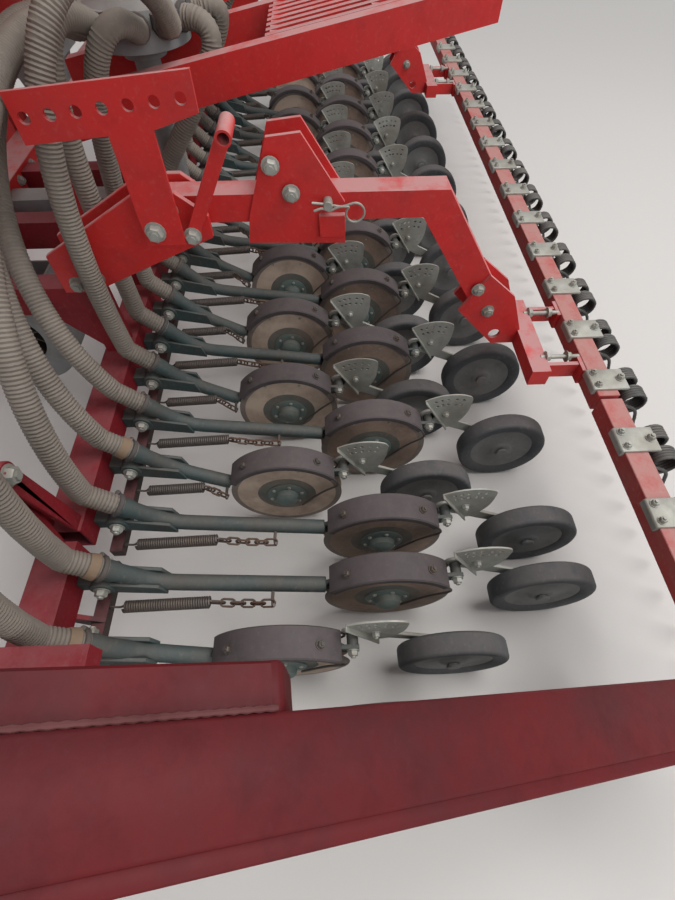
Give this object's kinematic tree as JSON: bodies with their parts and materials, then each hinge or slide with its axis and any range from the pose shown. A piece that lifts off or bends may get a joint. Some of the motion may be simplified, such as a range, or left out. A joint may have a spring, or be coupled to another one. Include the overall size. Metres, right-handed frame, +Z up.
{
  "type": "folding pneumatic seed drill",
  "caption": "Tractor-mounted folding pneumatic seed drill: double-disc coulters with press wheels on a toolbar, hopper in front, tine harrow behind on cranked arms.",
  "frame": {"origin": "on the floor under the middle of the machine's bounding box", "axes": "+X along the working width, +Y rearwards away from the tractor, +Z up"},
  "size_m": [4.0568, 2.1238, 1.546],
  "materials": {
    "bright_red": "gloss red paint, dusty",
    "dusty_red": "faded red paint under dust",
    "dark_red": "dark red paint, worn",
    "teal": "dark green-grey paint, worn",
    "fender": "brown-grey weathered steel",
    "galvanised": "dull zinc",
    "rubber": "matt",
    "disc": "dusty steel with dried soil",
    "spring": "dark spring steel",
    "steel": "grey paint",
    "hose": "ribbed, dusty"
  },
  "bodies": {
    "frame": {"main_frame": "bright_red", "headstock": "bright_red", "toolbar": "dark_red", "coulter_arms": "teal", "fenders": "fender", "press_arms": "galvanised", "hopper": "bright_red", "metering_box": "steel", "distributor": "steel", "fan_housing": "steel", "platform": "bright_red", "pressure_plates": "bright_red", "crank_handle": "bright_red", "harrow_brackets": "bright_red", "seed_hoses": "hose", "seed_hoses_near": "hose", "seed_hoses_far": "hose"},
    "lid": {"hopper_lid": "bright_red"},
    "fan": {"fan_rotor": "spring"},
    "harrow": {"harrow_arms": "bright_red", "harrow_bar": "dusty_red", "harrow_tines": "spring"},
    "front_disc_row": {"front_discs": "disc"},
    "rear_disc_row": {"rear_discs": "disc"},
    "front_press_row": {"front_press_wheels": "rubber"},
    "rear_press_row": {"rear_press_wheels": "rubber"},
    "end_section_near": {"toolbar_near": "dark_red", "coulter_arms_near": "teal", "fenders_near": "fender", "press_arms_near": "galvanised"},
    "harrow_end_near": {"end_arm_near": "dark_red", "harrow_bar_near": "dusty_red", "harrow_tines_near": "spring"},
    "front_disc_row_near": {"front_discs_near": "disc"},
    "rear_disc_row_near": {"rear_discs_near": "disc"},
    "front_press_row_near": {"front_press_wheels_near": "rubber"},
    "rear_press_row_near": {"rear_press_wheels_near": "rubber"},
    "parking_stand_near": {"stand_near": "galvanised"},
    "end_section_far": {"toolbar_far": "dark_red", "coulter_arms_far": "teal", "fenders_far": "fender", "press_arms_far": "galvanised"},
    "harrow_end_far": {"end_arm_far": "dark_red", "harrow_bar_far": "dusty_red", "harrow_tines_far": "spring"},
    "front_disc_row_far": {"front_discs_far": "disc"},
    "rear_disc_row_far": {"rear_discs_far": "disc"},
    "front_press_row_far": {"front_press_wheels_far": "rubber"},
    "rear_press_row_far": {"rear_press_wheels_far": "rubber"},
    "parking_stand_far": {"stand_far": "galvanised"}
  },
  "joints": [
    {"name": "lid_hinge", "type": "hinge", "parent": "frame", "child": "lid", "pos_m": [0, -1.042, 1.532], "axis": [1, 0, 0], "range_deg": [0, 95]},
    {"name": "fan_spin", "type": "hinge", "parent": "frame", "child": "fan", "pos_m": [0.7, -0.87, 0.3], "axis": [1, 0, 0], "continuous": true},
    {"name": "harrow_lift", "type": "hinge", "parent": "frame", "child": "harrow", "pos_m": [0, -0.22, 0.79], "axis": [1, 0, 0], "range_deg": [0, 22]},
    {"name": "front_disc_spin", "type": "hinge", "parent": "frame", "child": "front_disc_row", "pos_m": [0, 0, 0.163], "axis": [1, 0, 0], "continuous": true},
    {"name": "rear_disc_spin", "type": "hinge", "parent": "frame", "child": "rear_disc_row", "pos_m": [0, 0.255, 0.163], "axis": [1, 0, 0], "continuous": true},
    {"name": "front_press_spin", "type": "hinge", "parent": "frame", "child": "front_press_row", "pos_m": [0, 0.4, 0.13], "axis": [1, 0, 0], "continuous": true},
    {"name": "rear_press_spin", "type": "hinge", "parent": "frame", "child": "rear_press_row", "pos_m": [0, 0.655, 0.13], "axis": [1, 0, 0], "continuous": true},
    {"name": "fold_near", "type": "hinge", "parent": "frame", "child": "end_section_near", "pos_m": [1.5, -0.47, 0.64], "axis": [0, -1, 0], "range_deg": [0, 90], "deforming": ["seed_hoses_near"]},
    {"name": "harrow_lift_near", "type": "hinge", "parent": "end_section_near", "child": "harrow_end_near", "pos_m": [1.967, -0.3, 0.985], "axis": [1, 0, 0], "range_deg": [0, 22]},
    {"name": "front_disc_spin_near", "type": "hinge", "parent": "end_section_near", "child": "front_disc_row_near", "pos_m": [1.725, 0, 0.163], "axis": [1, 0, 0], "continuous": true},
    {"name": "rear_disc_spin_near", "type": "hinge", "parent": "end_section_near", "child": "rear_disc_row_near", "pos_m": [1.725, 0.255, 0.163], "axis": [1, 0, 0], "continuous": true},
    {"name": "front_press_spin_near", "type": "hinge", "parent": "end_section_near", "child": "front_press_row_near", "pos_m": [1.725, 0.4, 0.13], "axis": [1, 0, 0], "continuous": true},
    {"name": "rear_press_spin_near", "type": "hinge", "parent": "end_section_near", "child": "rear_press_row_near", "pos_m": [1.725, 0.655, 0.13], "axis": [1, 0, 0], "continuous": true},
    {"name": "stand_slide_near", "type": "slide", "parent": "frame", "child": "parking_stand_near", "axis": [0, 0, 1], "range_m": [0, 0.4]},
    {"name": "fold_far", "type": "hinge", "parent": "frame", "child": "end_section_far", "pos_m": [-1.5, -0.47, 0.64], "axis": [0, 1, 0], "range_deg": [0, 90], "deforming": ["seed_hoses_far"]},
    {"name": "harrow_lift_far", "type": "hinge", "parent": "end_section_far", "child": "harrow_end_far", "pos_m": [-1.967, -0.3, 0.985], "axis": [1, 0, 0], "range_deg": [0, 22]},
    {"name": "front_disc_spin_far", "type": "hinge", "parent": "end_section_far", "child": "front_disc_row_far", "pos_m": [-1.725, 0, 0.163], "axis": [1, 0, 0], "continuous": true},
    {"name": "rear_disc_spin_far", "type": "hinge", "parent": "end_section_far", "child": "rear_disc_row_far", "pos_m": [-1.725, 0.255, 0.163], "axis": [1, 0, 0], "continuous": true},
    {"name": "front_press_spin_far", "type": "hinge", "parent": "end_section_far", "child": "front_press_row_far", "pos_m": [-1.725, 0.4, 0.13], "axis": [1, 0, 0], "continuous": true},
    {"name": "rear_press_spin_far", "type": "hinge", "parent": "end_section_far", "child": "rear_press_row_far", "pos_m": [-1.725, 0.655, 0.13], "axis": [1, 0, 0], "continuous": true},
    {"name": "stand_slide_far", "type": "slide", "parent": "frame", "child": "parking_stand_far", "axis": [0, 0, 1], "range_m": [0, 0.4]}
  ]
}
